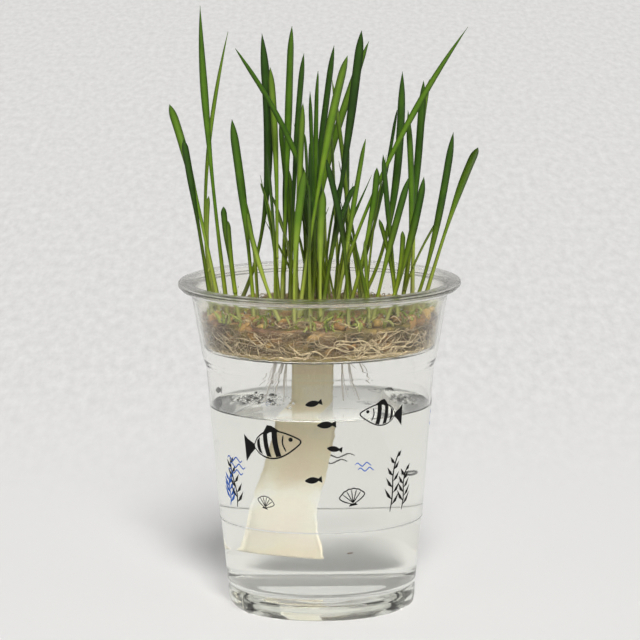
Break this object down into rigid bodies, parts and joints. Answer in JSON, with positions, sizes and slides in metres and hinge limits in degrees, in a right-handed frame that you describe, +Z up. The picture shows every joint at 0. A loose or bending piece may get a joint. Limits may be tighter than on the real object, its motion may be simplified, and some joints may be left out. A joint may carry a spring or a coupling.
{
  "type": "wheatgrass in a self-watering cup",
  "caption": "Wheatgrass on a root mat in a clear insert tray, set in the mouth of a clear plastic cup of water with a felt wick.",
  "frame": {"origin": "on the surface that the cup stands on, under the cup's axis", "axes": "+Z up along the cup's axis; -Y towards the viewer's side; +X to the viewer's right"},
  "size_m": [0.1069, 0.0984, 0.212],
  "materials": {
    "cup_plastic": "clear thermoformed PET, glossy",
    "tray_plastic": "clear thermoformed PET, glossy",
    "water": "clear still water",
    "felt": "cream non-woven felt, wet",
    "roots": "tangled fine living roots, matt",
    "grain": "sprouted wheat grains, satin",
    "blade": "living grass blade, satin, slightly translucent",
    "print_black": "black screen print on the cup",
    "print_blue": "blue screen print on the cup"
  },
  "bodies": {
    "root": {"cup": "cup_plastic", "insert_tray": "tray_plastic", "water": "water", "wick": "felt", "root_mat": "roots", "seed_layer": "grain", "shoot_01": "blade", "shoot_02": "blade", "shoot_03": "blade", "shoot_04": "blade", "shoot_05": "blade", "shoot_06": "blade", "shoot_07": "blade", "shoot_08": "blade", "shoot_09": "blade", "shoot_10": "blade", "shoot_11": "blade", "shoot_12": "blade", "shoot_13": "blade", "shoot_14": "blade", "shoot_15": "blade", "shoot_16": "blade", "shoot_17": "blade", "shoot_18": "blade", "shoot_19": "blade", "shoot_20": "blade", "shoot_21": "blade", "shoot_22": "blade", "shoot_23": "blade", "shoot_24": "blade", "shoot_25": "blade", "shoot_26": "blade", "shoot_27": "blade", "shoot_28": "blade", "shoot_29": "blade", "shoot_30": "blade", "shoot_31": "blade", "shoot_32": "blade", "shoot_33": "blade", "shoot_34": "blade", "shoot_35": "blade", "shoot_36": "blade", "shoot_37": "blade", "shoot_38": "blade", "shoot_39": "blade", "shoot_40": "blade", "shoot_41": "blade", "shoot_42": "blade", "shoot_43": "blade", "shoot_44": "blade", "shoot_45": "blade", "shoot_46": "blade", "shoot_47": "blade", "shoot_48": "blade", "shoot_49": "blade", "shoot_50": "blade", "shoot_51": "blade", "shoot_52": "blade"}
  },
  "joints": []
}
